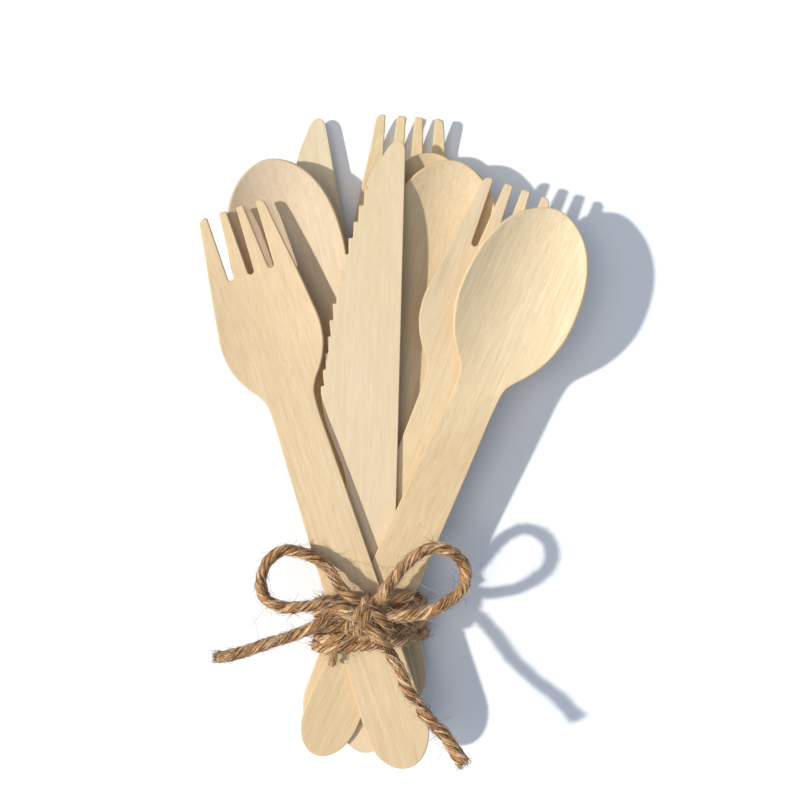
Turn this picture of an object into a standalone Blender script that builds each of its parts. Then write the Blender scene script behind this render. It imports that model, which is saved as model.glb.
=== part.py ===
"""Wooden cutlery set: forks, spoons and knives pressed from thin birch, fanned out and tied round
their handles with natural twine in a bow.

Frame: metres, +Z up. The handles point to -Y, the heads to +Y, and the bundle lies flat on z = 0.
The origin is under the middle of the cutlery's outline.
"""
import math

import bpy
import bmesh
from mathutils import Vector
from mathutils.geometry import delaunay_2d_cdt

for _old in list(bpy.data.objects):
    bpy.data.objects.remove(_old, do_unlink=True)

MM = 0.001

# ------------------------------------------------------------------ driving dimensions, in mm
THICK = 1.3                  # pressed birch
FORK_LEN = 160.0
SPOON_LEN = 162.0
KNIFE_LEN = 168.0
END_LONG = 11.5              # every handle ends in half an oval this long
END_HALF = {"fork": 8.5, "spoon": 7.65, "knife": 7.8}
CENTRE = (-2.22, -10.05)     # middle of the outline in the layout below, becomes the origin

# half width of a fork and a spoon at distances from the tip: (distance, half width)
FORK_HALF = ((0, 9.2), (2.2, 9.7), (7.7, 10.45), (18.4, 12.05), (29.7, 13.5), (36.5, 14.15),
             (41, 13.7), (45, 12.4), (48.9, 10.2), (52, 7.9), (55, 6.65), (60, 6.35), (70, 6.6), (83, 6.93),
             (96, 7.2), (110, 7.5), (130, 8.1), (148.5, 8.5))
SPOON_HALF = ((0, 0.0), (0.35, 2.4), (0.9, 3.9), (2, 6.0), (4.7, 9.3), (7.4, 11.4), (10.1, 12.9), (12.8, 14.0),
              (15.5, 14.8), (19, 15.5), (23, 15.9), (27, 16.05), (31, 15.85), (34.4, 15.2), (37.1, 14.45),
              (39.8, 13.4), (42.5, 12.0), (45.1, 10.2), (47.8, 8.1), (49.8, 6.85), (52, 6.35), (58, 6.2),
              (66, 6.4), (75, 6.6), (90, 6.88), (108, 7.15), (130, 7.45), (150.5, 7.65))
# a fork's slots: depth, and (middle at the mouth, middle at the root, mouth width, root width)
SLOT_DEPTH = 18.8
SLOTS = ((-5.3, -5.85, 3.6, 1.75), (0.0, 0.0, 2.8, 1.75), (5.3, 5.85, 3.6, 1.75))
# a knife: full width from its straight back, the back's distance from the handle's middle, its teeth
KNIFE_WIDTH = ((0, 1.9), (0.6, 3.4), (1.6, 4.4), (4.3, 6.1), (8, 8.4), (13.8, 10.9), (18.3, 12.3), (22.8, 13.6),
               (27.3, 14.9), (49.8, 19.5), (58.8, 20.5), (68, 21.4), (76, 20.2), (84, 17.2), (92, 14.2), (98, 13.4),
               (110, 13.6))
KNIFE_BACK = 6.8
TOOTH_FIRST, TOOTH_PITCH, TOOTH_COUNT = 13.8, 4.5, 13
TOOTH_STEP = (1.3, 0.95)     # depth of the first and of the last tooth
# pressed shape: height over the handle's plane at distances from the tip
FORK_RISE = ((0, 4.4), (5, 3.05), (10, 1.85), (18, 0.5), (27, -0.35), (36, -0.5), (44, -0.3), (52, -0.05), (60, 0.0))
FORK_CUP = ((0, 0.2), (10, 0.6), (20, 1.0), (32, 1.3), (42, 0.9), (50, 0.3), (58, 0.0))
SPOON_LOW = ((0, 4.2), (3, 2.9), (7, 1.4), (12, 0.1), (18, -0.7), (25, -1.0), (33, -0.85), (41, -0.4), (49, -0.05),
             (56, 0.0))
SPOON_RIM = ((0, 4.2), (8, 4.1), (18, 3.8), (28, 3.4), (36, 2.7), (43, 1.6), (49, 0.6), (56, 0.0))

# how each piece lies: kind, tip (x, y), lean in degrees, twist of its head per mm across,
# and the height of its middle surface at STATIONS along it
STATIONS = (0.0, 50.0, 85.0, 122.0, 161.0)
TWIST_END = 112.0
LAYOUT = {
    "fork_back":           ("fork",  (2.9, 79.7), -4.45, 0.0, (1.3, 1.8, 3.3, 4.15, 4.15)),
    "knife_left":          ("knife", (-28.05, 78.8), 10.1, 0.0, (3.65, 4.9, 5.45, 5.75, 5.75)),
    "spoon_left":          ("spoon", (-37.1, 66.4), 13.2, 0.07, (7.9, 8.25, 7.5, 7.4, 7.35)),
    "spoon_centre_under":  ("spoon", (9.4, 68.4), -7.35, -0.08, (6.65, 8.4, 9.0, 9.05, 9.0)),
    "spoon_centre":        ("spoon", (15.1, 65.7), -10.0, 0.03, (10.15, 10.75, 10.8, 10.65, 10.6)),
    "fork_right":          ("fork",  (32.0, 57.7), -19.65, 0.0, (12.8, 16.1, 13.95, 12.3, 12.2)),
    "knife_centre":        ("knife", (-5.2, 71.2), -1.5, 0.08, (13.95, 16.8, 15.85, 14.3, 13.85)),
    "spoon_front_right":   ("spoon", (42.75, 51.1), -24.1, 0.0, (16.15, 19.6, 17.4, 15.7, 15.65)),
    "fork_front_left":     ("fork",  (-46.4, 52.4), 17.82, 0.08, (9.1, 17.2, 17.9, 17.4, 17.0)),
}

# twine
TWINE_D = 3.2
WRAP_Y = (-70.0, -54.0)      # the turns lie side by side between these
# inside of the turns, seen along +Y: they pull tight round the stacked handles
WRAP_INSIDE = ((-16.9, 3.2), (0.4, 3.2), (5.0, 4.0), (7.2, 5.1), (7.2, 7.0), (4.9, 16.6), (3.4, 18.15), (1.7, 18.65),
               (-20.4, 18.65), (-21.8, 17.7), (-23.2, 14.4), (-23.15, 11.2), (-19.0, 3.9))
KNOT_AT = (-8.5, -57.2, 25.05)
KNOT_HALF = (5.4, 4.4, 2.75)
# routes of the free twine, (x, y, z)
LOOP_LEFT = ((-13.3, -52.3, 24.7), (-16.2, -49.4, 23.8), (-18.9, -45.5, 22.7), (-22.9, -42.4, 21.9), (-26.7, -40.9, 21.4),
             (-30.5, -40.4, 21.1), (-33.5, -41.5, 20.9), (-35.9, -43.9, 20.9), (-37.2, -47.4, 21.0), (-37.2, -50.6, 21.4),
             (-35.8, -53.5, 22.0), (-32.8, -55.0, 22.8), (-29.6, -55.4, 23.6), (-24.7, -54.8, 24.6), (-19.9, -54.1, 25.4),
             (-17.0, -54.3, 25.8), (-14.8, -55.0, 25.8))
LOOP_RIGHT = ((-4.8, -52.1, 25.4), (-2.9, -49.3, 25.7), (0.0, -45.3, 26.0), (3.7, -41.6, 26.2), (7.9, -39.4, 26.3),
              (11.7, -39.5, 26.3), (14.8, -41.1, 26.2), (17.0, -43.9, 26.1), (17.5, -47.3, 26.0), (16.2, -50.4, 26.0),
              (13.0, -53.3, 26.0), (8.5, -55.9, 25.8), (3.7, -57.0, 25.6), (0.0, -57.4, 25.4), (-2.4, -57.3, 25.3))
TAIL_LEFT = ((-18.4, -57.7, 23.6), (-21.1, -59.3, 23.6), (-24.8, -61.3, 23.8), (-29.5, -63.1, 24.3), (-34.3, -64.4, 24.9),
             (-39.8, -66.2, 25.6), (-45.8, -67.8, 26.3), (-48.6, -67.9, 26.6))
TAIL_RIGHT = ((-5.8, -62.7, 26.6), (-2.9, -66.4, 27.6), (-0.5, -70.4, 28.5), (1.8, -75.3, 29.5), (4.7, -79.4, 30.5),
              (7.8, -83.3, 31.6), (11.7, -87.1, 32.8), (14.2, -90.6, 33.6), (16.1, -93.6, 34.3))


# ------------------------------------------------------------------ reading tables
def read_table(table, s):
    """Smooth value at s in a short (s, value) table, without overshoot."""
    if s <= table[0][0]:
        return table[0][1]
    if s >= table[-1][0]:
        return table[-1][1]
    i = 0
    while s > table[i + 1][0]:
        i += 1

    def slope(k):
        last = len(table) - 1
        if k <= 0:
            return (table[1][1] - table[0][1]) / (table[1][0] - table[0][0])
        if k >= last:
            return (table[last][1] - table[last - 1][1]) / (table[last][0] - table[last - 1][0])
        before = (table[k][1] - table[k - 1][1]) / (table[k][0] - table[k - 1][0])
        after = (table[k + 1][1] - table[k][1]) / (table[k + 1][0] - table[k][0])
        return 0.0 if before * after <= 0 else 2 * before * after / (before + after)

    (s0, v0), (s1, v1) = table[i], table[i + 1]
    h = s1 - s0
    t = (s - s0) / h
    return ((2 * t ** 3 - 3 * t ** 2 + 1) * v0 + (t ** 3 - 2 * t ** 2 + t) * h * slope(i)
            + (-2 * t ** 3 + 3 * t ** 2) * v1 + (t ** 3 - t ** 2) * h * slope(i + 1))


def bend_height(heights, s):
    """Height of a handle that bends smoothly through its heights at STATIONS."""
    total = 0.0
    for i, hi in enumerate(heights):
        weight = 1.0
        for j, sj in enumerate(STATIONS):
            if j != i:
                weight *= (s - sj) / (STATIONS[i] - sj)
        total += weight * hi
    return total


def smooth_route(points, step):
    """Points every step along a Catmull-Rom curve through a route's own points."""
    pts = [Vector(p) for p in points]
    pts = [pts[0] * 2 - pts[1]] + pts + [pts[-1] * 2 - pts[-2]]
    dense = []
    for i in range(1, len(pts) - 2):
        a, b, c, d = pts[i - 1], pts[i], pts[i + 1], pts[i + 2]
        for k in range(20):
            t = k / 20
            dense.append(0.5 * ((2 * b) + (c - a) * t + (2 * a - 5 * b + 4 * c - d) * t * t
                                + (3 * b - a - 3 * c + d) * t ** 3))
    dense.append(pts[-2])
    out, gone = [dense[0]], 0.0
    length = sum((dense[k + 1] - dense[k]).length for k in range(len(dense) - 1))
    count = max(2, round(length / step))
    want = length / count
    for k in range(len(dense) - 1):
        seg = (dense[k + 1] - dense[k]).length
        while gone + seg >= want * len(out) - 1e-9 and len(out) < count:
            out.append(dense[k].lerp(dense[k + 1], (want * len(out) - gone) / seg))
        gone += seg
    out.append(dense[-1])
    return out


# ------------------------------------------------------------------ outlines, (s from the tip, w across)
def round_end(length, half, count=10):
    """The handle's round end, from its -w side to its +w side."""
    mid = length - END_LONG
    return [(mid + END_LONG * math.sin(a), -half * math.cos(a))
            for a in (math.pi * k / count for k in range(1, count))]


def sample(table, start, stop, steps):
    return [start + (stop - start) * k / steps for k in range(steps + 1)]


SIDE_STATIONS = (22, 26, 30, 33.5, 36.5, 39.5, 42.5, 45.5, 48, 50, 52, 54, 57, 62, 75, 90, 105, 120, 136, 148.5)


def fork_outline():
    half = lambda s: read_table(FORK_HALF, s)
    left = [(s, -half(s)) for s in (1.6, 5, 9.5, 14, 18.8) + SIDE_STATIONS]
    right = [(s, w * -1) for s, w in reversed(left)]
    pts = left + round_end(FORK_LEN, END_HALF["fork"]) + right
    # over the tips from +w to -w, down and up each slot
    pts += [(0.35, 8.6), (0.0, 7.8)]
    for mouth, root, mouth_w, root_w in reversed(SLOTS):
        r = root_w / 2
        pts.append((0.0, mouth + mouth_w / 2))
        pts += [(SLOT_DEPTH * f, (mouth + mouth_w / 2) * (1 - f) + (root + r) * f) for f in (0.33, 0.66)]
        pts += [(SLOT_DEPTH - r + r * math.sin(a), root + r * math.cos(a))
                for a in (math.pi * k / 4 for k in range(5))]
        pts += [(SLOT_DEPTH * f, (mouth - mouth_w / 2) * (1 - f) + (root - r) * f) for f in (0.66, 0.33)]
        pts.append((0.0, mouth - mouth_w / 2))
    pts += [(0.0, -7.8), (0.35, -8.6)]
    return pts


def spoon_outline():
    half = lambda s: read_table(SPOON_HALF, s)
    left = [(s, -half(s)) for s in (0.35, 0.9, 2, 3.3, 4.7, 7.4, 10.1, 12.8, 15.5, 19) + SIDE_STATIONS[:-1] + (150.5,)]
    right = [(s, w * -1) for s, w in reversed(left)]
    return [(0.0, 0.0)] + left + round_end(SPOON_LEN, END_HALF["spoon"]) + right


def knife_outline():
    edge = lambda s: KNIFE_BACK - read_table(KNIFE_WIDTH, s)
    pts = [(0.0, KNIFE_BACK - 1.9), (0.25, edge(0.3))] + [(s, edge(s)) for s in (0.8, 2.2, 4.3, 8, 11)]
    for k in range(TOOTH_COUNT):
        s = TOOTH_FIRST + TOOTH_PITCH * k
        step = TOOTH_STEP[0] + (TOOTH_STEP[1] - TOOTH_STEP[0]) * k / (TOOTH_COUNT - 1)
        pts += [(s - 0.12, edge(s) + step), (s, edge(s))]
    pts += [(s, edge(s)) for s in (70.5, 74, 78, 82, 86, 90, 94, 98, 104)]

    def handle_half(s):
        return KNIFE_BACK + (END_HALF["knife"] - KNIFE_BACK) * (s - 110) / (KNIFE_LEN - END_LONG - 110)

    pts += [(s, -handle_half(s)) for s in (110, 126, 142, 156.5)]
    pts += round_end(KNIFE_LEN, END_HALF["knife"])
    pts += [(s, handle_half(s)) for s in (156.5, 142, 126, 110)]
    pts += [(s, KNIFE_BACK) for s in (95, 80, 65, 52, 42, 32, 22, 12, 4)]
    return pts + [(2.2, KNIFE_BACK - 0.15), (0.9, KNIFE_BACK - 0.6), (0.2, KNIFE_BACK - 1.25)]


# ------------------------------------------------------------------ pressed heights over the handle's plane
def fork_press(s, w):
    return read_table(FORK_RISE, s) + read_table(FORK_CUP, s) * (w / 14.15) ** 2


def spoon_press(s, w):
    low, rim = read_table(SPOON_LOW, s), read_table(SPOON_RIM, s)
    side = min(1.0, abs(w) / max(0.5, read_table(SPOON_HALF, s)))
    return low + (rim - low) * side ** 2.1


def flat_press(s, w):
    return 0.0


def inside(poly, s, w):
    hit = False
    for k in range(len(poly)):
        (s1, w1), (s2, w2) = poly[k], poly[k - 1]
        if (w1 > w) != (w2 > w) and s < (s2 - s1) * (w - w1) / (w2 - w1) + s1:
            hit = not hit
    return hit


def edge_distance(poly, s, w):
    best = 1e9
    for k in range(len(poly)):
        (s1, w1), (s2, w2) = poly[k - 1], poly[k]
        ds, dw = s2 - s1, w2 - w1
        t = max(0.0, min(1.0, ((s - s1) * ds + (w - w1) * dw) / (ds * ds + dw * dw)))
        best = min(best, math.hypot(s - s1 - ds * t, w - w1 - dw * t))
    return best


KINDS = {
    "fork": (fork_outline, fork_press, 64, FORK_LEN),
    "spoon": (spoon_outline, spoon_press, 60, SPOON_LEN),
    "knife": (knife_outline, flat_press, 0, KNIFE_LEN),
}


def wood_material(name, colour):
    mat = bpy.data.materials.new(name)
    mat.use_nodes = True
    shader = mat.node_tree.nodes["Principled BSDF"]
    shader.inputs["Base Color"].default_value = (*colour, 1)
    shader.inputs["Roughness"].default_value = 0.6
    shader.inputs["Metallic"].default_value = 0.0
    return mat


def add_object(name, mesh, mat, location=(0, 0, 0), turn=0.0):
    obj = bpy.data.objects.new(name, mesh)
    bpy.context.scene.collection.objects.link(obj)
    obj.location = [v * MM for v in location]
    obj.rotation_euler = (0, 0, math.radians(turn))
    mesh.materials.append(mat)
    return obj


def cutlery(name):
    """One flat blank: its outline filled, pressed to height, and given its thickness."""
    kind, tip, lean, twist, heights = LAYOUT[name]
    outline_of, press, head, length = KINDS[kind]
    poly = outline_of()
    spots = list(poly)
    grid = 4.2
    s = 3.0
    while s < head:
        w = -16.8
        while w <= 16.9:
            if inside(poly, s, w) and edge_distance(poly, s, w) > 1.5:
                spots.append((s, w))
            w += grid
        s += grid
    for k in range(24):
        s = head + 6.0 + k * 8.0
        if s < length - 6 and kind != "knife":
            spots.append((s, 0.0))
        elif s < length - 6 and kind == "knife":
            spots.append((s, 0.0 if s > 86 or s < 22 else -3.0))
    verts, _, faces, _, _, _ = delaunay_2d_cdt([Vector(p) for p in spots], [], [list(range(len(poly)))], 1, 1e-5)
    bm = bmesh.new()
    made = []
    for v in verts:
        sv, wv = v.x, v.y
        z = press(sv, wv) + bend_height(heights, sv) + twist * wv * max(0.0, 1 - sv / TWIST_END)
        made.append(bm.verts.new((wv * MM, -sv * MM, z * MM)))
    for f in faces:
        corners = [made[i] for i in f]
        face = bm.faces.new(corners)
        face.normal_update()
        if face.normal.z < 0:
            face.normal_flip()
    bm.verts.ensure_lookup_table()
    loose = [v for v in bm.verts if not v.link_faces]
    bmesh.ops.delete(bm, geom=loose, context="VERTS")
    mesh = bpy.data.meshes.new(name)
    bm.to_mesh(mesh)
    bm.free()
    colour = (0.80, 0.60, 0.38) if kind != "knife" else (0.83, 0.66, 0.46)
    obj = add_object(name, mesh, wood_material(name, colour), (tip[0] - CENTRE[0], tip[1] - CENTRE[1], 0), lean)
    solid = obj.modifiers.new("thickness", "SOLIDIFY")
    solid.thickness = THICK * MM
    solid.offset = 0.0
    solid.use_even_offset = True
    return obj


for piece in LAYOUT:
    cutlery(piece)


# ------------------------------------------------------------------ twine
TWINE_COLOUR = (0.38, 0.19, 0.08)


def twine_binding():
    """The turns round the handles, as one closed ring of their outer shape."""
    inner = [Vector((x, z)) for x, z in WRAP_INSIDE]
    n = len(inner)
    outer = []
    for k in range(n):
        before = (inner[k] - inner[k - 1]).normalized()
        after = (inner[(k + 1) % n] - inner[k]).normalized()
        way = (Vector((before.y, -before.x)) + Vector((after.y, -after.x))).normalized()
        reach = TWINE_D / max(0.6, way.dot(Vector((after.y, -after.x))))
        out = inner[k] + way * reach
        outer.append(Vector((out.x, max(0.0, out.y))))
    edge = 0.8
    rings = []      # each ring of points goes round the section of the winding
    for x_z_in, x_z_out in zip(inner, outer):
        mid_way = (x_z_out - x_z_in).normalized()
        y0, y1 = WRAP_Y
        soft = x_z_out - mid_way * edge
        rings.append([(x_z_in, y0), (soft, y0), (x_z_out, y0 + edge), (x_z_out, y1 - edge), (soft, y1), (x_z_in, y1)])
    bm = bmesh.new()
    grid = [[bm.verts.new(((p.x - CENTRE[0]) * MM, (y - CENTRE[1]) * MM, p.y * MM)) for p, y in ring] for ring in rings]
    for k in range(n):
        a, b = grid[k], grid[(k + 1) % n]
        for m in range(len(a)):
            q = (m + 1) % len(a)
            bm.faces.new((a[m], a[q], b[q], b[m]))
    bmesh.ops.recalc_face_normals(bm, faces=bm.faces)
    bmesh.ops.triangulate(bm, faces=bm.faces)
    mesh = bpy.data.meshes.new("twine_binding")
    bm.to_mesh(mesh)
    bm.free()
    return add_object("twine_binding", mesh, wood_material("twine_binding", TWINE_COLOUR))


def twine_knot():
    """The lump of the bow's knot on top of the turns."""
    bm = bmesh.new()
    bmesh.ops.create_icosphere(bm, subdivisions=3, radius=1.0)
    for v in bm.verts:
        v.co = Vector((v.co.x * KNOT_HALF[0], v.co.y * KNOT_HALF[1], v.co.z * KNOT_HALF[2])) * MM
    mesh = bpy.data.meshes.new("twine_knot")
    bm.to_mesh(mesh)
    bm.free()
    mesh.shade_smooth()
    return add_object("twine_knot", mesh, wood_material("twine_knot", TWINE_COLOUR),
                      (KNOT_AT[0] - CENTRE[0], KNOT_AT[1] - CENTRE[1], KNOT_AT[2]))


def twine_run(name, route):
    """A free stretch of twine as a plain round tube."""
    points = smooth_route(route, TWINE_D * 1.25)
    curve = bpy.data.curves.new(name, "CURVE")
    curve.dimensions = "3D"
    curve.bevel_depth = TWINE_D / 2 * MM
    curve.bevel_resolution = 2
    curve.use_fill_caps = True
    spline = curve.splines.new("POLY")
    spline.points.add(len(points) - 1)
    for sp, p in zip(spline.points, points):
        sp.co = ((p.x - CENTRE[0]) * MM, (p.y - CENTRE[1]) * MM, p.z * MM, 1)
    return add_object(name, curve, wood_material(name, TWINE_COLOUR))


twine_binding()
twine_knot()
twine_run("twine_loop_left", LOOP_LEFT)
twine_run("twine_loop_right", LOOP_RIGHT)
twine_run("twine_tail_left", TAIL_LEFT)
twine_run("twine_tail_right", TAIL_RIGHT)
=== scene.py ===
"""Looks of a wooden cutlery set: birch forks, spoons and knives with rounded edges and straight grain,
tied with hairy natural twine whose plies, turns, knot, loops and frayed ends are all modelled.

Lengths in the tables are millimetres in the layout of the set; CENTRE is where the frame's origin lies.
"""
import math

import bpy
import numpy as np
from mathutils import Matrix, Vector
from mathutils.geometry import delaunay_2d_cdt


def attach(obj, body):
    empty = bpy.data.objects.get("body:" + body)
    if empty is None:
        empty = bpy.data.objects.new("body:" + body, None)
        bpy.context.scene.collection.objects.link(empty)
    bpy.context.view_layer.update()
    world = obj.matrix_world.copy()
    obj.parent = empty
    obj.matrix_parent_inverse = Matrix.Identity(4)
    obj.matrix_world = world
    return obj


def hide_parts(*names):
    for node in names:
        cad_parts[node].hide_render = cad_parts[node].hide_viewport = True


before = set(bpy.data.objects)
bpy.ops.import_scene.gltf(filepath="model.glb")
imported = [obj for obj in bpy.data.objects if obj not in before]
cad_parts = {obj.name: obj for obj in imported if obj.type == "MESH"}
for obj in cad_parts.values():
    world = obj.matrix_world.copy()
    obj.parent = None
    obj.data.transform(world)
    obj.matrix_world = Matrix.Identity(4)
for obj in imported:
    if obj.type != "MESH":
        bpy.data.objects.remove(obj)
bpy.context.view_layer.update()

MM = 0.001
CENTRE = (-2.22, -10.05)

# ------------------------------------------------------------------ camera: straight down, heads up
cam_data = bpy.data.cameras.new("camera")
cam_data.sensor_width = 36.0
cam_data.lens = 56.02
camera = bpy.data.objects.new("camera", cam_data)
bpy.context.scene.collection.objects.link(camera)
camera.location = (-CENTRE[0] * MM, -CENTRE[1] * MM, 0.3557)
camera.rotation_euler = (0.0, 0.0, 0.0)
bpy.context.scene.camera = camera

# ------------------------------------------------------------------ the set's sizes
THICK = 1.3
FORK_LEN, SPOON_LEN, KNIFE_LEN = 160.0, 162.0, 168.0
END_LONG = 11.5
END_HALF = {"fork": 8.5, "spoon": 7.65, "knife": 7.8}
FORK_HALF = ((0, 9.2), (2.2, 9.7), (7.7, 10.45), (18.4, 12.05), (29.7, 13.5), (36.5, 14.15),
             (41, 13.7), (45, 12.4), (48.9, 10.2), (52, 7.9), (55, 6.65), (60, 6.35), (70, 6.6), (83, 6.93),
             (96, 7.2), (110, 7.5), (130, 8.1), (148.5, 8.5))
SPOON_HALF = ((0, 0.0), (0.35, 2.4), (0.9, 3.9), (2, 6.0), (4.7, 9.3), (7.4, 11.4), (10.1, 12.9), (12.8, 14.0),
              (15.5, 14.8), (19, 15.5), (23, 15.9), (27, 16.05), (31, 15.85), (34.4, 15.2), (37.1, 14.45),
              (39.8, 13.4), (42.5, 12.0), (45.1, 10.2), (47.8, 8.1), (49.8, 6.85), (52, 6.35), (58, 6.2),
              (66, 6.4), (75, 6.6), (90, 6.88), (108, 7.15), (130, 7.45), (150.5, 7.65))
SLOT_DEPTH = 18.8
SLOTS = ((-5.3, -5.85, 3.6, 1.75), (0.0, 0.0, 2.8, 1.75), (5.3, 5.85, 3.6, 1.75))
KNIFE_WIDTH = ((0, 1.9), (0.6, 3.4), (1.6, 4.4), (4.3, 6.1), (8, 8.4), (13.8, 10.9), (18.3, 12.3), (22.8, 13.6),
               (27.3, 14.9), (49.8, 19.5), (58.8, 20.5), (68, 21.4), (76, 20.2), (84, 17.2), (92, 14.2), (98, 13.4),
               (110, 13.6))
KNIFE_BACK = 6.8
TOOTH_FIRST, TOOTH_PITCH, TOOTH_COUNT = 13.8, 4.5, 13
TOOTH_STEP = (1.3, 0.95)
FORK_RISE = ((0, 4.4), (5, 3.05), (10, 1.85), (18, 0.5), (27, -0.35), (36, -0.5), (44, -0.3), (52, -0.05), (60, 0.0))
FORK_CUP = ((0, 0.2), (10, 0.6), (20, 1.0), (32, 1.3), (42, 0.9), (50, 0.3), (58, 0.0))
SPOON_LOW = ((0, 4.2), (3, 2.9), (7, 1.4), (12, 0.1), (18, -0.7), (25, -1.0), (33, -0.85), (41, -0.4), (49, -0.05),
             (56, 0.0))
SPOON_RIM = ((0, 4.2), (8, 4.1), (18, 3.8), (28, 3.4), (36, 2.7), (43, 1.6), (49, 0.6), (56, 0.0))
STATIONS = (0.0, 50.0, 85.0, 122.0, 161.0)
TWIST_END = 112.0
LAYOUT = {
    "fork_back":           ("fork",  (2.9, 79.7), -4.45, 0.0, (1.3, 1.8, 3.3, 4.15, 4.15)),
    "knife_left":          ("knife", (-28.05, 78.8), 10.1, 0.0, (3.65, 4.9, 5.45, 5.75, 5.75)),
    "spoon_left":          ("spoon", (-37.1, 66.4), 13.2, 0.07, (7.9, 8.25, 7.5, 7.4, 7.35)),
    "spoon_centre_under":  ("spoon", (9.4, 68.4), -7.35, -0.08, (6.65, 8.4, 9.0, 9.05, 9.0)),
    "spoon_centre":        ("spoon", (15.1, 65.7), -10.0, 0.03, (10.15, 10.75, 10.8, 10.65, 10.6)),
    "fork_right":          ("fork",  (32.0, 57.7), -19.65, 0.0, (12.8, 16.1, 13.95, 12.3, 12.2)),
    "knife_centre":        ("knife", (-5.2, 71.2), -1.5, 0.08, (13.95, 16.8, 15.85, 14.3, 13.85)),
    "spoon_front_right":   ("spoon", (42.75, 51.1), -24.1, 0.0, (16.15, 19.6, 17.4, 15.7, 15.65)),
    "fork_front_left":     ("fork",  (-46.4, 52.4), 17.82, 0.08, (9.1, 17.2, 17.9, 17.4, 17.0)),
}
# how far each fork's slots are narrowed at the mouth, which leaves its tines that much wider
TINES = {"fork_back": 0.3, "fork_right": 0.3, "fork_front_left": 0.0}

TWINE_D = 3.2
WRAP_INSIDE = ((-16.9, 3.2), (0.4, 3.2), (5.0, 4.0), (7.2, 5.1), (7.2, 7.0), (4.9, 16.6), (3.4, 18.15), (1.7, 18.65),
               (-20.4, 18.65), (-21.8, 17.7), (-23.2, 14.4), (-23.15, 11.2), (-19.0, 3.9))
KNOT_AT = (-8.5, -57.2, 25.05)
LOOP_LEFT = ((-13.3, -52.3, 24.7), (-16.2, -49.4, 23.8), (-18.9, -45.5, 22.7), (-22.9, -42.4, 21.9), (-26.7, -40.9, 21.4),
             (-30.5, -40.4, 21.1), (-33.5, -41.5, 20.9), (-35.9, -43.9, 20.9), (-37.2, -47.4, 21.0), (-37.2, -50.6, 21.4),
             (-35.8, -53.5, 22.0), (-32.8, -55.0, 22.8), (-29.6, -55.4, 23.6), (-24.7, -54.8, 24.6), (-19.9, -54.1, 25.4),
             (-17.0, -54.3, 25.8), (-14.8, -55.0, 25.8))
LOOP_RIGHT = ((-4.8, -52.1, 25.4), (-2.9, -49.3, 25.7), (0.0, -45.3, 26.0), (3.7, -41.6, 26.2), (7.9, -39.4, 26.3),
              (11.7, -39.5, 26.3), (14.8, -41.1, 26.2), (17.0, -43.9, 26.1), (17.5, -47.3, 26.0), (16.2, -50.4, 26.0),
              (13.0, -53.3, 26.0), (8.5, -55.9, 25.8), (3.7, -57.0, 25.6), (0.0, -57.4, 25.4), (-2.4, -57.3, 25.3))
TAIL_LEFT = ((-18.4, -57.7, 23.6), (-21.1, -59.3, 23.6), (-24.8, -61.3, 23.8), (-29.5, -63.1, 24.3), (-34.3, -64.4, 24.9),
             (-39.8, -66.2, 25.6), (-45.8, -67.8, 26.3), (-48.6, -67.9, 26.6))
TAIL_RIGHT = ((-5.8, -62.7, 26.6), (-2.9, -66.4, 27.6), (-0.5, -70.4, 28.5), (1.8, -75.3, 29.5), (4.7, -79.4, 30.5),
              (7.8, -83.3, 31.6), (11.7, -87.1, 32.8), (14.2, -90.6, 33.6), (16.1, -93.6, 34.3))
# the tails start under the knot's own strands
TAIL_LEFT_ROOT = ((-14.4, -57.6, 23.3),)
TAIL_RIGHT_ROOT = ((-9.8, -57.4, 24.2), (-8.1, -59.9, 25.8))
# the knot's strands, lying over one another
KNOT_STRANDS = (
    ((-14.6, -62.0, 22.6), (-13.0, -59.4, 24.6), (-11.2, -56.9, 26.0), (-9.4, -54.4, 25.2), (-8.2, -52.6, 23.2)),
    ((-11.7, -62.7, 22.7), (-10.4, -60.0, 25.2), (-8.7, -57.0, 26.3), (-7.3, -54.6, 25.3), (-6.4, -52.9, 23.2)),
    ((-9.4, -53.2, 23.8), (-7.5, -55.0, 25.7), (-5.4, -57.3, 26.3), (-3.7, -59.9, 25.2), (-2.6, -62.2, 22.9)),
    ((-18.2, -55.6, 23.6), (-15.4, -56.0, 25.4), (-12.6, -57.8, 25.6), (-9.8, -60.0, 25.0), (-6.4, -62.2, 23.4)),
)
STUB = ((-17.2, -65.6, 20.6), (-17.7, -68.6, 20.7), (-18.2, -70.6, 19.9), (-18.6, -71.9, 19.0))


# ------------------------------------------------------------------ small tools
def read_table(table, s):
    if s <= table[0][0]:
        return table[0][1]
    if s >= table[-1][0]:
        return table[-1][1]
    i = 0
    while s > table[i + 1][0]:
        i += 1

    def slope(k):
        last = len(table) - 1
        if k <= 0:
            return (table[1][1] - table[0][1]) / (table[1][0] - table[0][0])
        if k >= last:
            return (table[last][1] - table[last - 1][1]) / (table[last][0] - table[last - 1][0])
        before = (table[k][1] - table[k - 1][1]) / (table[k][0] - table[k - 1][0])
        after = (table[k + 1][1] - table[k][1]) / (table[k + 1][0] - table[k][0])
        return 0.0 if before * after <= 0 else 2 * before * after / (before + after)

    (s0, v0), (s1, v1) = table[i], table[i + 1]
    h = s1 - s0
    t = (s - s0) / h
    return ((2 * t ** 3 - 3 * t ** 2 + 1) * v0 + (t ** 3 - 2 * t ** 2 + t) * h * slope(i)
            + (-2 * t ** 3 + 3 * t ** 2) * v1 + (t ** 3 - t ** 2) * h * slope(i + 1))


FINE = np.arange(-1.0, 170.0, 0.1)


def dense(reader):
    """A table's values every 0.1 mm, for quick reading of whole arrays."""
    return np.array([reader(float(s)) for s in FINE])


def spoon_half(s):
    return 3.9 * math.sqrt(max(0.0, s) / 0.9) if s < 0.9 else read_table(SPOON_HALF, s)


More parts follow.
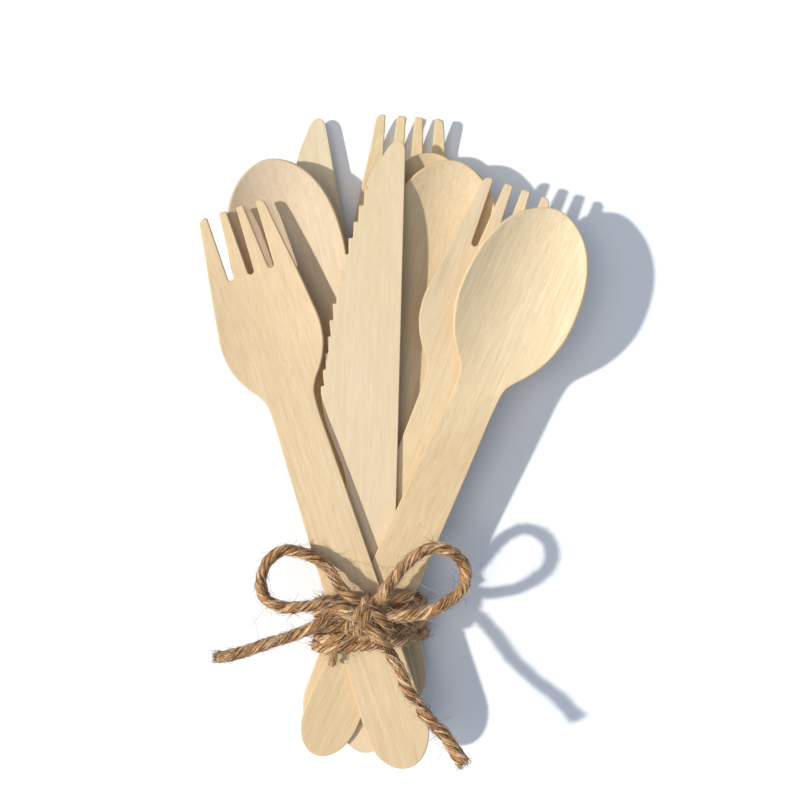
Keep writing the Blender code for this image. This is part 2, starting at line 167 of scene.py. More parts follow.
D_SPOON_HALF = dense(spoon_half)
D_SPOON_LOW = dense(lambda s: read_table(SPOON_LOW, s))
D_SPOON_RIM = dense(lambda s: read_table(SPOON_RIM, s))
D_FORK_RISE = dense(lambda s: read_table(FORK_RISE, s))
D_FORK_CUP = dense(lambda s: read_table(FORK_CUP, s))


def press(kind, s, w):
    if kind == "fork":
        return np.interp(s, FINE, D_FORK_RISE) + np.interp(s, FINE, D_FORK_CUP) * (w / 14.15) ** 2
    if kind == "spoon":
        low, rim = np.interp(s, FINE, D_SPOON_LOW), np.interp(s, FINE, D_SPOON_RIM)
        side = np.minimum(1.02, np.abs(w) / np.maximum(0.5, np.interp(s, FINE, D_SPOON_HALF)))
        return low + (rim - low) * side ** 2.1
    return np.zeros_like(s)


def bend(heights, s):
    total = np.zeros_like(s)
    for i, hi in enumerate(heights):
        weight = np.ones_like(s)
        for j, sj in enumerate(STATIONS):
            if j != i:
                weight = weight * (s - sj) / (STATIONS[i] - sj)
        total += weight * hi
    return total


def span(start, stop, step):
    count = max(1, round(abs(stop - start) / step))
    return [start + (stop - start) * k / count for k in range(count + 1)]


def fillet(points):
    """Points (s, w, radius): each with a radius becomes an arc between its two sides."""
    out = []
    n = len(points)
    for k, (s, w, r) in enumerate(points):
        if r <= 0:
            out.append((s, w))
            continue
        a = Vector(points[k - 1][:2]) - Vector((s, w))
        b = Vector(points[(k + 1) % n][:2]) - Vector((s, w))
        la, lb = a.length, b.length
        a.normalize()
        b.normalize()
        half = math.acos(max(-1, min(1, a.dot(b)))) / 2
        cut = min(r / math.tan(half), 0.48 * la, 0.48 * lb)
        r = cut * math.tan(half)
        mid = (a + b).normalized()
        centre = Vector((s, w)) + mid * (r / math.sin(half))
        p, q = Vector((s, w)) + a * cut - centre, Vector((s, w)) + b * cut - centre
        for i in range(6):
            v = p.lerp(q, i / 5)
            v = v.normalized() * r + centre
            out.append((v.x, v.y))
    return out


def round_end(length, half, count=34):
    mid = length - END_LONG
    return [(mid + END_LONG * math.sin(a), -half * math.cos(a), 0)
            for a in (math.pi * k / count for k in range(1, count))]


def fork_outline(narrow):
    half = lambda s: read_table(FORK_HALF, s)
    left = [(s, -half(s), 0) for s in span(1.8, 62, 0.95) + span(62, 148.5, 3)[1:]]
    right = [(s, -w, 0) for s, w, r in reversed(left)]
    pts = left + round_end(FORK_LEN, END_HALF["fork"]) + right
    outer = [(1.8 - 1.8 * math.sin(a), 7.86 + 1.75 * math.cos(a), 0) for a in (math.pi * k / 16 for k in range(1, 8))]
    pts += outer
    for mouth, root, mouth_w, root_w in reversed(SLOTS):
        mouth_w -= narrow
        r = root_w / 2
        pts.append((0.0, mouth + mouth_w / 2, 0.5))
        for f in span(0.08, 0.95, 0.055):
            pts.append(((SLOT_DEPTH - r) * f, (mouth + mouth_w / 2) * (1 - f) + (root + r) * f, 0))
        pts += [(SLOT_DEPTH - r + r * math.sin(a), root + r * math.cos(a), 0) for a in (math.pi * k / 12 for k in range(13))]
        for f in span(0.95, 0.08, 0.055):
            pts.append(((SLOT_DEPTH - r) * f, (mouth - mouth_w / 2) * (1 - f) + (root - r) * f, 0))
        pts.append((0.0, mouth - mouth_w / 2, 0.5))
    pts += [(s, -w, 0) for s, w, r in reversed(outer)]
    return fillet(pts)


def spoon_outline():
    along = [0.03, 0.12, 0.27, 0.48, 0.75, 1.1, 1.5, 2.0, 2.6, 3.3, 4.0] + span(4.8, 62, 0.95) + span(62, 150.5, 3)[1:]
    left = [(s, -spoon_half(s)) for s in along]
    right = [(s, -w) for s, w in reversed(left)]
    return [(0.0, 0.0)] + left + [p[:2] for p in round_end(SPOON_LEN, END_HALF["spoon"])] + right


def knife_outline():
    edge = lambda s: KNIFE_BACK - read_table(KNIFE_WIDTH, s)
    pts = [(0.0, KNIFE_BACK - 1.95, 0)]
    pts += [(s, edge(s), 0) for s in (0.12, 0.3, 0.6, 1.0, 1.6, 2.4, 3.3, 4.3, 5.5, 6.8, 8.0, 9.5, 11.0, 12.4)]
    for k in range(TOOTH_COUNT):
        s = TOOTH_FIRST + TOOTH_PITCH * k
        step = TOOTH_STEP[0] + (TOOTH_STEP[1] - TOOTH_STEP[0]) * k / (TOOTH_COUNT - 1)
        pts += [(s - 0.12, edge(s) + step, 0.3), (s, edge(s), 0.38)]
        nxt = s + TOOTH_PITCH
        if k < TOOTH_COUNT - 1:
            step = TOOTH_STEP[0] + (TOOTH_STEP[1] - TOOTH_STEP[0]) * (k + 1) / (TOOTH_COUNT - 1)
            for f in (0.3, 0.65):
                pts.append((s + (TOOTH_PITCH - 0.12) * f, edge(s) * (1 - f) + (edge(nxt) + step) * f, 0))
    pts += [(s, edge(s), 0) for s in span(69.5, 109, 1.6)]

    def handle_half(s):
        return KNIFE_BACK + (END_HALF["knife"] - KNIFE_BACK) * (s - 110) / (KNIFE_LEN - END_LONG - 110)

    pts += [(s, -handle_half(s), 0) for s in span(110, 156.5, 3)]
    pts += round_end(KNIFE_LEN, END_HALF["knife"])
    pts += [(s, handle_half(s), 0) for s in span(156.5, 110, 3)]
    pts += [(s, KNIFE_BACK, 0) for s in span(107, 3.2, 2.6)]
    pts += [(2.2, KNIFE_BACK - 0.12, 0), (1.4, KNIFE_BACK - 0.36, 0), (0.8, KNIFE_BACK - 0.7, 0),
            (0.35, KNIFE_BACK - 1.15, 0), (0.1, KNIFE_BACK - 1.55, 0)]
    return fillet(pts)


def inward(poly, reach):
    """The outline moved inwards by reach."""
    p = np.array(poly)
    before = p - np.roll(p, 1, axis=0)
    after = np.roll(p, -1, axis=0) - p
    area = np.sum(p[:, 0] * np.roll(p[:, 1], -1) - np.roll(p[:, 0], -1) * p[:, 1])
    sign = 1.0 if area > 0 else -1.0
    before /= np.linalg.norm(before, axis=1)[:, None]
    after /= np.linalg.norm(after, axis=1)[:, None]
    n1 = np.stack([-before[:, 1], before[:, 0]], 1) * sign
    n2 = np.stack([-after[:, 1], after[:, 0]], 1) * sign
    way = n1 + n2
    way /= np.linalg.norm(way, axis=1)[:, None]
    return p + way * (reach / np.maximum(0.72, np.sum(way * n1, axis=1)))[:, None]


def inner_points(ring, grid_head, head):
    """Points of a grid that lie well inside a closed ring."""
    spots = []
    lo, hi = ring.min(axis=0), ring.max(axis=0)
    s = lo[0] + 0.6
    row = 0
    while s < hi[0]:
        step = grid_head if s < head else grid_head * 1.35
        ws = np.arange(lo[1] + (0.5 if row % 2 else 0.0) * grid_head, hi[1], grid_head)
        spots += [(s, w) for w in ws]
        s += step
        row += 1
    q = np.array(spots)
    a, b = ring, np.roll(ring, -1, axis=0)
    hit = np.zeros(len(q), bool)
    near = np.full(len(q), 1e9)
    for (s1, w1), (s2, w2) in zip(a, b):
        cross = (w1 > q[:, 1]) != (w2 > q[:, 1])
        if w1 != w2:
            hit ^= cross & (q[:, 0] < (s2 - s1) * (q[:, 1] - w1) / (w2 - w1) + s1)
        ds, dw = s2 - s1, w2 - w1
        t = np.clip(((q[:, 0] - s1) * ds + (q[:, 1] - w1) * dw) / (ds * ds + dw * dw + 1e-12), 0, 1)
        near = np.minimum(near, np.hypot(q[:, 0] - s1 - ds * t, q[:, 1] - w1 - dw * t))
    return q[hit & (near > 0.55 * grid_head)]


def set_smooth(mesh):
    mesh.polygons.foreach_set("use_smooth", [True] * len(mesh.polygons))


def add_attribute(mesh, name, values, kind="FLOAT"):
    layer = mesh.attributes.new(name, kind, "POINT")
    layer.data.foreach_set("value" if kind == "FLOAT" else "vector", np.asarray(values, dtype=np.float32).ravel())


def link(name, mesh, mat):
    obj = bpy.data.objects.new(name, mesh)
    bpy.context.scene.collection.objects.link(obj)
    mesh.materials.append(mat)
    return obj


# ------------------------------------------------------------------ birch
def nodes_of(name):
    mat = bpy.data.materials.new(name)
    mat.use_nodes = True
    tree = mat.node_tree
    return mat, tree, tree.nodes["Principled BSDF"]


def make(tree, kind, **values):
    node = tree.nodes.new(kind)
    for key, value in values.items():
        if key in node.inputs:
            node.inputs[key].default_value = value
        else:
            setattr(node, key, value)
    return node


def stretched_noise(tree, source, stretch, offset, detail=4.0, rough=0.55, distort=0.0):
    """Noise stretched along one way; stretch is how many features there are in a metre each way."""
    place = make(tree, "ShaderNodeMapping", Scale=stretch, Location=offset)
    tree.links.new(source, place.inputs["Vector"])
    noise = make(tree, "ShaderNodeTexNoise", Scale=1.0, Detail=detail, Roughness=rough, Distortion=distort)
    tree.links.new(place.outputs["Vector"], noise.inputs["Vector"])
    return noise.outputs["Fac"]


def ramp(tree, source, stops):
    node = make(tree, "ShaderNodeValToRGB")
    els = node.color_ramp.elements
    while len(els) > 1:
        els.remove(els[-1])
    els[0].position, els[0].color = stops[0][0], (*([stops[0][1]] * 3), 1)
    for pos, value in stops[1:]:
        e = els.new(pos)
        e.color = (value, value, value, 1)
    tree.links.new(source, node.inputs["Fac"])
    return node.outputs["Color"]


def mix(tree, factor, a, b, how="MIX"):
    node = make(tree, "ShaderNodeMix", data_type="RGBA", blend_type=how)
    ins = {s.identifier: s for s in node.inputs}
    for key, value in (("Factor_Float", factor), ("A_Color", a), ("B_Color", b)):
        if hasattr(value, "is_output"):
            tree.links.new(value, ins[key])
        else:
            ins[key].default_value = value if not isinstance(value, tuple) else (*value, 1)
    return next(s for s in node.outputs if s.identifier == "Result_Color")


def birch(name, colour, handle, seed, streak=1.0):
    """Pale birch veneer: broad bands, straight fine grain, short pores, and side faces painted darker for end grain
    and painted edge shade.
    """
    mat, tree, shader = nodes_of(name)
    coords = make(tree, "ShaderNodeTexCoord").outputs["Object"]
    at = (seed * 1.7, seed * 2.3, seed * 0.9)
    broad = stretched_noise(tree, coords, (75, 9, 75), at, 3, 0.5, 0.3)
    grain = stretched_noise(tree, coords, (780, 26, 780), at, 5, 0.62, 0.5)
    fine = stretched_noise(tree, coords, (2300, 110, 2300), at, 3, 0.6)
    pores = stretched_noise(tree, coords, (3400, 330, 3400), (seed, seed, seed), 2, 0.5)
    mottle = stretched_noise(tree, coords, (260, 150, 260), at, 3, 0.5)
    light = tuple(min(1.0, c * k) for c, k in zip(colour, (1.06, 1.075, 1.10)))
    dark = tuple(c * k for c, k in zip(colour, (0.885, 0.835, 0.75)))
    body = mix(tree, ramp(tree, grain, ((0.28, 0.0), (0.5, 0.52 * streak), (0.72, min(1.0, 0.95 * streak)))), light, dark)
    body = mix(tree, ramp(tree, broad, ((0.3, 0.0), (0.7, 0.55))), body, tuple(c * k for c, k in zip(colour, (0.95, 0.90, 0.82))))
    hair = ramp(tree, fine, ((0.35, 1.0), (0.62, 1.0 - 0.085 * streak), (0.75, 1.0 - 0.15 * streak)))
    body = mix(tree, 1.0, body, hair, "MULTIPLY")
    flecks = ramp(tree, pores, ((0.60, 0.0), (0.72, 0.32 * streak)))
    body = mix(tree, flecks, body, tuple(c * k for c, k in zip(colour, (0.70, 0.57, 0.42))))
    body = mix(tree, 1.0, body, ramp(tree, mottle, ((0.3, 0.965), (0.7, 1.0))), "MULTIPLY")
    # the veneer's own tone changes a little between head and handle
    parts = make(tree, "ShaderNodeSeparateXYZ")
    tree.links.new(coords, parts.inputs["Vector"])
    along = make(tree, "ShaderNodeMapRange")
    tree.links.new(parts.outputs["Y"], along.inputs["Value"])
    for key, value in (("From Min", -0.036), ("From Max", -0.072), ("To Min", 0.0), ("To Max", 1.0)):
        along.inputs[key].default_value = value
    tint = mix(tree, along.outputs["Result"], (1.0, 1.0, 1.0), tuple(h / c for h, c in zip(handle, colour)))
    body = mix(tree, 1.0, body, tint, "MULTIPLY")
    # the side faces are painted darker: partly end grain, partly painted shade along the cut edges
    rim = make(tree, "ShaderNodeAttribute", attribute_name="rim")
    edge_grain_and_shade = make(tree, "ShaderNodeMath", operation="MULTIPLY")
    tree.links.new(rim.outputs["Fac"], edge_grain_and_shade.inputs[0])
    edge_grain_and_shade.inputs[1].default_value = 0.5
    body = mix(tree, edge_grain_and_shade.outputs["Value"], body, tuple(c * k for c, k in zip(colour, (0.80, 0.69, 0.54))))
    tree.links.new(body, shader.inputs["Base Color"])
    tree.links.new(ramp(tree, fine, ((0.3, 0.52), (0.7, 0.66))), shader.inputs["Roughness"])
    shader.inputs["Specular IOR Level"].default_value = 0.32
    height = mix(tree, 0.5, ramp(tree, grain, ((0.25, 1.0), (0.75, 0.0))), ramp(tree, fine, ((0.3, 1.0), (0.75, 0.0))))
    bump = make(tree, "ShaderNodeBump", Strength=0.55, Distance=0.00006)
    tree.links.new(height, bump.inputs["Height"])
    tree.links.new(bump.outputs["Normal"], shader.inputs["Normal"])
    return mat


WOOD = {   # colour of the head, colour of the handle, grain strength
    "fork_back":          ((0.775, 0.612, 0.365), (0.76, 0.590, 0.350), 0.9),
    "knife_left":         ((0.775, 0.645, 0.435), (0.76, 0.600, 0.370), 0.7),
    "spoon_left":         ((0.702, 0.545, 0.367), (0.75, 0.590, 0.360), 0.8),
    "spoon_centre_under": ((0.755, 0.590, 0.362), (0.75, 0.585, 0.355), 0.9),
    "spoon_centre":       ((0.742, 0.576, 0.357), (0.76, 0.595, 0.365), 0.9),
    "fork_right":         ((0.780, 0.619, 0.402), (0.78, 0.610, 0.375), 0.9),
    "knife_centre":       ((0.752, 0.600, 0.386), (0.765, 0.606, 0.396), 0.6),
    "spoon_front_right":  ((0.840, 0.672, 0.430), (0.75, 0.566, 0.336), 1.1),
    "fork_front_left":    ((0.770, 0.575, 0.345), (0.77, 0.578, 0.348), 0.9),
}


def cutlery(name, seed):
    kind, tip, lean, twist, heights = LAYOUT[name]
    if kind == "fork":
        poly = fork_outline(TINES[name])
    else:
        poly = spoon_outline() if kind == "spoon" else knife_outline()
    soft = 0.25 if kind == "knife" else 0.34
    half_t = THICK / 2
    profile = [(soft + 0.08, half_t)]
    for deg in (90, 65, 40, 18, 0):
        a = math.radians(deg)
        profile.append((soft * (1 - math.cos(a)), half_t - soft * (1 - math.sin(a))))
    profile = profile + [(d, -h) for d, h in reversed(profile)]
    rings = [inward(poly, d) if d > 0 else np.array(poly) for d, h in profile]
    count = len(poly)
    inner = inner_points(rings[0], 1.35 if kind != "knife" else 2.2, 58 if kind != "knife" else 20)
    spots = [Vector(p) for p in rings[0]] + [Vector(p) for p in inner]
    flat, _, faces, origin, _, _ = delaunay_2d_cdt(spots, [], [list(range(count))], 1, 1e-6)

    def raise_up(sw, h):
        s, w = sw[:, 0], sw[:, 1]

        def z(s, w):
            return press(kind, s, w) + bend(heights, s) + twist * w * np.maximum(0.0, 1 - s / TWIST_END)
        e = 0.12
        ds = (z(s + e, w) - z(s - e, w)) / (2 * e)
        dw = (z(s, w + e) - z(s, w - e)) / (2 * e)
        n = np.stack([-dw, ds, np.ones_like(s)], 1)
        n /= np.linalg.norm(n, axis=1)[:, None]
        return np.stack([w, -s, z(s, w)], 1) + n * h

    verts = [raise_up(ring, h) for ring, (d, h) in zip(rings, profile)]
    # rim marks the side faces, which the birch material paints darker (end grain and painted edge shade)
    rim = [np.full(count, 0.0 if abs(h) > half_t - 0.02 else 1.0) for d, h in profile]
    extra = np.array([(v.x, v.y) for v in flat])
    top = raise_up(extra, half_t)
    bottom = raise_up(extra, -half_t)
    last = (len(rings) - 1) * count
    base_top = len(rings) * count
    base_bottom = base_top + len(extra)
    ids_top, ids_bottom = [], []
    for k, src in enumerate(origin):
        edge = [i for i in src if i < count]
        ids_top.append(edge[0] if edge else base_top + k)
        ids_bottom.append(last + edge[0] if edge else base_bottom + k)
    polys = []
    for r in range(len(rings) - 1):
        for k in range(count):
            q = (k + 1) % count
            polys.append((r * count + k, r * count + q, (r + 1) * count + q, (r + 1) * count + k))
    up = []
    for f in faces:
        a, b, c = (extra[i] for i in f[:3])
        # seen from above, x is w and y is -s
        turn = (b[1] - a[1]) * (a[0] - c[0]) - (a[0] - b[0]) * (c[1] - a[1])
        up.append(list(f) if turn > 0 else list(reversed(f)))
    polys += [tuple(ids_top[i] for i in f) for f in up]
    polys += [tuple(ids_bottom[i] for i in reversed(f)) for f in up]
    points = np.concatenate(verts + [top, bottom])
    rims = np.concatenate(rim + [np.zeros(len(extra) * 2)])
    # leave out the points that the caps share with the rings
    used = np.zeros(len(points), bool)
    for f in polys:
        for i in f:
            used[i] = True
    renumber = np.cumsum(used) - 1
    polys = [tuple(int(renumber[i]) for i in f) for f in polys]
    mesh = bpy.data.meshes.new(name + "_wood")
    mesh.from_pydata((points[used] * MM).tolist(), [], polys)
    add_attribute(mesh, "rim", rims[used])
    # the sides' first band lies on top: turn the sides over where it faces down
    if mesh.polygons[0].normal.z < 0:
        bm_fix = [tuple(reversed(f)) if n < (len(rings) - 1) * count else f for n, f in enumerate(polys)]
        mesh.clear_geometry()
        mesh.from_pydata((points[used] * MM).tolist(), [], bm_fix)
        add_attribute(mesh, "rim", rims[used])
    set_smooth(mesh)
    head_colour, handle_colour, streak = WOOD[name]
    obj = link(name + "_wood", mesh, birch("birch_" + name, head_colour, handle_colour, seed, streak))
    obj.location = ((tip[0] - CENTRE[0]) * MM, (tip[1] - CENTRE[1]) * MM, 0)
    obj.rotation_euler = (0, 0, math.radians(lean))
    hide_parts(name)
    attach(obj, "root")
    return obj


for number, piece in enumerate(LAYOUT):
    cutlery(piece, number + 1)


# ------------------------------------------------------------------ twine
def twine_material(name, hairs=False):
    mat, tree, shader = nodes_of(name)
    if hairs:
        coords = make(tree, "ShaderNodeTexCoord").outputs["Object"]
        tone = stretched_noise(tree, coords, (260, 260, 260), (0, 0, 0), 2, 0.5)
        body = mix(tree, ramp(tree, tone, ((0.36, 0.0), (0.64, 1.0))), (0.80, 0.58, 0.34), (0.20, 0.085, 0.025))
        tree.links.new(body, shader.inputs["Base Color"])
        shader.inputs["Roughness"].default_value = 0.6
        return mat
    lay = make(tree, "ShaderNodeAttribute", attribute_name="lay").outputs["Vector"]
    crown = make(tree, "ShaderNodeAttribute", attribute_name="crown").outputs["Fac"]
    fibre = stretched_noise(tree, lay, (170, 1900, 1900), (3, 1, 2), 4, 0.62, 0.6)
    pale = stretched_noise(tree, lay, (120, 1300, 1300), (7, 5, 1), 3, 0.6, 0.8)
    gap = stretched_noise(tree, lay, (150, 1200, 1200), (2, 8, 6), 3, 0.6, 0.9)
    blotch = stretched_noise(tree, lay, (150, 300, 300), (1, 9, 4), 3, 0.5)
    body = mix(tree, ramp(tree, fibre, ((0.36, 0.0), (0.50, 0.5), (0.64, 1.0))), (0.25, 0.088, 0.019), (0.69, 0.350, 0.116))
    body = mix(tree, ramp(tree, blotch, ((0.35, 0.0), (0.7, 0.45))), body, (0.56, 0.285, 0.098))
    body = mix(tree, ramp(tree, pale, ((0.51, 0.0), (0.60, 0.95))), body, (0.95, 0.69, 0.40))
    # near-black streaks in the gaps between the fibres: painted shade
    body = mix(tree, ramp(tree, gap, ((0.50, 0.0), (0.585, 0.95))), body, (0.075, 0.023, 0.006))
    # the grooves between the plies, where crown is low, are painted dark: painted shade, with a little dirt
    body = mix(tree, ramp(tree, crown, ((0.0, 0.85), (0.35, 0.35), (0.75, 0.0))), body, (0.085, 0.030, 0.009))
    tree.links.new(body, shader.inputs["Base Color"])
    shader.inputs["Roughness"].default_value = 0.72
    shader.inputs["Specular IOR Level"].default_value = 0.25
    shader.inputs["Sheen Weight"].default_value = 0.15
    height = mix(tree, 0.45, ramp(tree, fibre, ((0.25, 0.0), (0.75, 1.0))), ramp(tree, gap, ((0.3, 1.0), (0.7, 0.0))))
    bump = make(tree, "ShaderNodeBump", Strength=1.0, Distance=0.00035)
    tree.links.new(height, bump.inputs["Height"])
    tree.links.new(bump.outputs["Normal"], shader.inputs["Normal"])
    return mat


TWINE = twine_material("jute_twine")
HAIR = twine_material("jute_hairs", hairs=True)
STEP = 0.45
AROUND = 24
rng = np.random.RandomState(11)


def resample(points, step):
    p = np.asarray(points, dtype=float)
    seg = np.linalg.norm(np.diff(p, axis=0), axis=1)
    gone = np.concatenate([[0], np.cumsum(seg)])
    count = max(2, int(round(gone[-1] / step)))
    want = np.linspace(0, gone[-1], count + 1)
    return np.stack([np.interp(want, gone, p[:, i]) for i in range(3)], 1)


def curve_through(points, step=STEP):
    """Points every step along a smooth curve through the route's points."""
    pts = [Vector(p) for p in points]
    pts = [pts[0] * 2 - pts[1]] + pts + [pts[-1] * 2 - pts[-2]]
    out = []
    for i in range(1, len(pts) - 2):
        a, b, c, d = pts[i - 1], pts[i], pts[i + 1], pts[i + 2]
        for k in range(20):
            t = k / 20
            out.append(0.5 * ((2 * b) + (c - a) * t + (2 * a - 5 * b + 4 * c - d) * t * t
                              + (3 * b - a - 3 * c + d) * t ** 3))
    out.append(pts[-2])
    return resample([tuple(p) for p in out], step)


def frames_along(p):
    t = np.gradient(p, axis=0)
    t /= np.linalg.norm(t, axis=1)[:, None]
    n = np.zeros_like(p)
    start = np.array([0.0, 0.0, 1.0])
    n[0] = start - t[0] * start.dot(t[0])
    n[0] /= np.linalg.norm(n[0])
    for k in range(1, len(p)):
        v = n[k - 1] - t[k] * n[k - 1].dot(t[k])
        n[k] = v / np.linalg.norm(v)
    return t, n, np.cross(t, n)


def slow_noise(length, every, seed):
    """Smooth random values from -1 to 1 at distances along a cord."""
    r = np.random.RandomState(seed)
    knots = r.uniform(-1, 1, int(length[-1] / every) + 4)
    x = length / every
    i = x.astype(int)
    f = x - i
    f = f * f * (3 - 2 * f)
    return knots[i] * (1 - f) + knots[i + 1] * f


STRANDS = []    # every strand, for its hairs


def strand(p, seed, radius=TWINE_D / 2, pitch=-13.0, plies=4, blunt=(0.9, 0.9), swell=0.0):
    """Points, faces and attributes of a twisted cord along p."""
    t, n, b = frames_along(p)
    seg = np.linalg.norm(np.diff(p, axis=0), axis=1)
    length = np.concatenate([[0], np.cumsum(seg)])
    phi = np.arange(AROUND) * 2 * math.pi / AROUND
    wander = slow_noise(length, 7.0, seed) * 0.5
    tau = length * 2 * math.pi / pitch + seed * 1.3 + wander
    ply, out = 0.54 * radius, 0.46 * radius
    third = 2 * math.pi / plies
    delta = np.mod(phi[None, :] - tau[:, None] + third / 2, third) - third / 2
    r = out * np.cos(delta) + np.sqrt(np.maximum(0.0, ply ** 2 - (out * np.sin(delta)) ** 2))
    # crown is 1 on the plies' tops and 0 in the grooves, where the twine's material paints shade
    crown = np.clip((r / r.max() - 0.62) / 0.38, 0, 1)
    which = np.floor(np.mod(phi[None, :] - tau[:, None] + third / 2, 2 * math.pi) / third).astype(int)
    fat = np.stack([1 + 0.07 * slow_noise(length, 4.0, seed * 7 + k) for k in range(plies)], 1)
    r = r * np.take_along_axis(fat, which, axis=1)
    r = r * (1 + 0.04 * slow_noise(length, 9.0, seed + 50))[:, None]
    fine = np.random.RandomState(seed + 900).uniform(-1, 1, r.shape)
    fine = (fine + np.roll(fine, 1, axis=0) + np.roll(fine, 2, axis=0)) / 3
    r = r + 0.05 * fine
    to_end = length[-1] - length
    r = r * (1 + swell * np.exp(-to_end / 4.5))[:, None]
    for far, cut in ((length, blunt[0]), (to_end, blunt[1])):
        if cut > 0:
            k = np.clip(far / cut, 0, 1)
            r = r * (0.62 + 0.38 * np.sqrt(k * (2 - k)))[:, None]
    ring = (p[:, None, :] + (n[:, None, :] * np.cos(phi)[None, :, None] + b[:, None, :] * np.sin(phi)[None, :, None])
            * r[:, :, None])
    turned = phi[None, :] - 0.92 * tau[:, None]
    lay = np.stack([np.broadcast_to(length[:, None], r.shape) + seed * 40.0,
                    1.6 * np.cos(turned), 1.6 * np.sin(turned)], 2)
    count = len(p)
    faces = []
    for k in range(count - 1):
        for j in range(AROUND):
            q = (j + 1) % AROUND
            faces.append((k * AROUND + j, k * AROUND + q, (k + 1) * AROUND + q, (k + 1) * AROUND + j))
    pts = ring.reshape(-1, 3)
    first, last = len(pts), len(pts) + 1
    pts = np.concatenate([pts, p[:1], p[-1:]])
    lays = np.concatenate([lay.reshape(-1, 3), [[seed * 40.0, 0, 0]], [[length[-1] + seed * 40.0, 0, 0]]])
    crowns = np.concatenate([crown.reshape(-1), [0.2, 0.2]])
    for j in range(AROUND):
        q = (j + 1) % AROUND
        faces.append((first, q, j))
        faces.append((last, (count - 1) * AROUND + j, (count - 1) * AROUND + q))
    STRANDS.append((p, t, n, b, r.mean(axis=1), length))
    return pts, faces, lays, crowns


def cord_object(name, parts, mat=TWINE):
    pts, faces, lays, crowns = [], [], [], []
    base = 0
    for a, f, l, c in parts:
        faces += [tuple(i + base for i in face) for face in f]
        base += len(a)
        pts.append(a)
        lays.append(l)
        crowns.append(c)
    pts = np.concatenate(pts)
    pts = (pts - np.array([CENTRE[0], CENTRE[1], 0.0])) * MM
    pts[:, 2] = np.maximum(pts[:, 2], 0.00002)
    mesh = bpy.data.meshes.new(name)
    mesh.from_pydata(pts.tolist(), [], faces)
    add_attribute(mesh, "lay", np.concatenate(lays) * MM, "FLOAT_VECTOR")
    add_attribute(mesh, "crown", np.concatenate(crowns))
    set_smooth(mesh)
    return link(name, mesh, mat)


# the turns round the handles
def wrap_route():
    inner = [Vector(p) for p in WRAP_INSIDE]
    n = len(inner)
    path = []
    for k in range(n):
        before = (inner[k] - inner[k - 1]).normalized()
        after = (inner[(k + 1) % n] - inner[k]).normalized()
        way = (Vector((before.y, -before.x)) + Vector((after.y, -after.x))).normalized()
        path.append(inner[k] + way * (1.62 / max(0.7, way.dot(Vector((after.y, -after.x))))))
    closed = []
    for k in range(n):
        a, b = path[k], path[(k + 1) % n]
        cuts = max(1, round((b - a).length / 2.4))
        closed += [a.lerp(b, i / cuts) for i in range(cuts)]
    for _ in range(2):
        closed = [v for k in range(len(closed)) for v in
                  (closed[k].lerp(closed[(k + 1) % len(closed)], 0.25), closed[k].lerp(closed[(k + 1) % len(closed)], 0.75))]
    closed.reverse()       # over the top from left to right
    ring = np.array([(v.x, v.y) for v in closed])
    start = int(np.argmin(np.hypot(ring[:, 0] + 16.0, ring[:, 1] - 1.6)))
    ring = np.roll(ring, -start, axis=0)
    seg = np.linalg.norm(np.roll(ring, -1, axis=0) - ring, axis=1)
    total = seg.sum()
    gone = np.concatenate([[0], np.cumsum(seg)[:-1]]) / total
    on_top = (ring[:, 1] > 19.0).astype(float)
    advance = np.cumsum(0.35 / len(ring) + 0.65 * on_top / on_top.sum())
    rounds = 4.55
    route = []
    for k in range(5):
        for (x, z), u, adv in zip(ring, gone, advance):
            if k + u > rounds:
                break
            y = -67.6 + 3.02 * (k + adv)
            wob = 0.28 * math.sin(2.1 * (k + u) * math.pi + k * 1.9)
            lift = 0.12 * math.sin(5.3 * (k + u) + 1.1)
            outward = 1.0 if z > 19 else 0.0
            # the turns follow the crossed handles, which lean away from one another
            right = min(1.0, max(0.0, (x + 6) / 6))
            low, high = min(1.0, max(0.0, (11 - z) / 3)), min(1.0, max(0.0, (z - 11) / 3))
            x += right * (-0.178 * (y + 70) * low + 0.85 * max(0.44 * (y + 52.5), -2.6 - 0.32 * (y + 71.5)) * high)
            left = min(1.0, max(0.0, (-10 - x) / 6))
            top = min(1.0, max(0.0, (z - 15) / 2))
            x += left * (0.12 * (-54 - y) * top + 0.28 * (y + 70) * (1 - top) * min(1.0, max(0.0, (z - 5) / 4)))
            x += 0.9 * left - 1.1 * right          # pulled tight into the edges
            route.append((x, y + wob * (0.4 + 0.6 * outward), z + outward * abs(lift)))
    route = np.array(route)
    for _ in range(3):
        route[1:-1] = (route[:-2] + 2 * route[1:-1] + route[2:]) / 4
    return resample(route, STEP)


wrap = cord_object("twine_turns", [strand(wrap_route(), 1, swell=0.0),
                                   strand(curve_through(STUB), 6, radius=0.9, pitch=-8.0, blunt=(0.5, 0.7))])
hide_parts("twine_binding")
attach(wrap, "root")

# the knot: strands over one another on a round lump of the same twine
knot_parts = [strand(curve_through(route), 20 + k, radius=1.5, pitch=-12.0) for k, route in enumerate(KNOT_STRANDS)]
core = np.array([[-13.4, -57.6, 24.0], [-11.2, -57.4, 24.2], [-8.6, -57.0, 24.3], [-6.0, -56.8, 24.2], [-3.8, -57.0, 24.0]])
knot_parts.append(strand(curve_through(core), 31, radius=2.1, pitch=-12.0, blunt=(2.0, 2.0)))
knot = cord_object("twine_bow_knot", knot_parts)
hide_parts("twine_knot")
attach(knot, "root")


def free_cord(name, node, route, seed, swell=0.0):
    p = curve_through(route)
    obj = cord_object(name, [strand(p, seed, swell=swell, blunt=(0.8, 0.5))])
    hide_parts(node)
    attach(obj, "root")
    return p


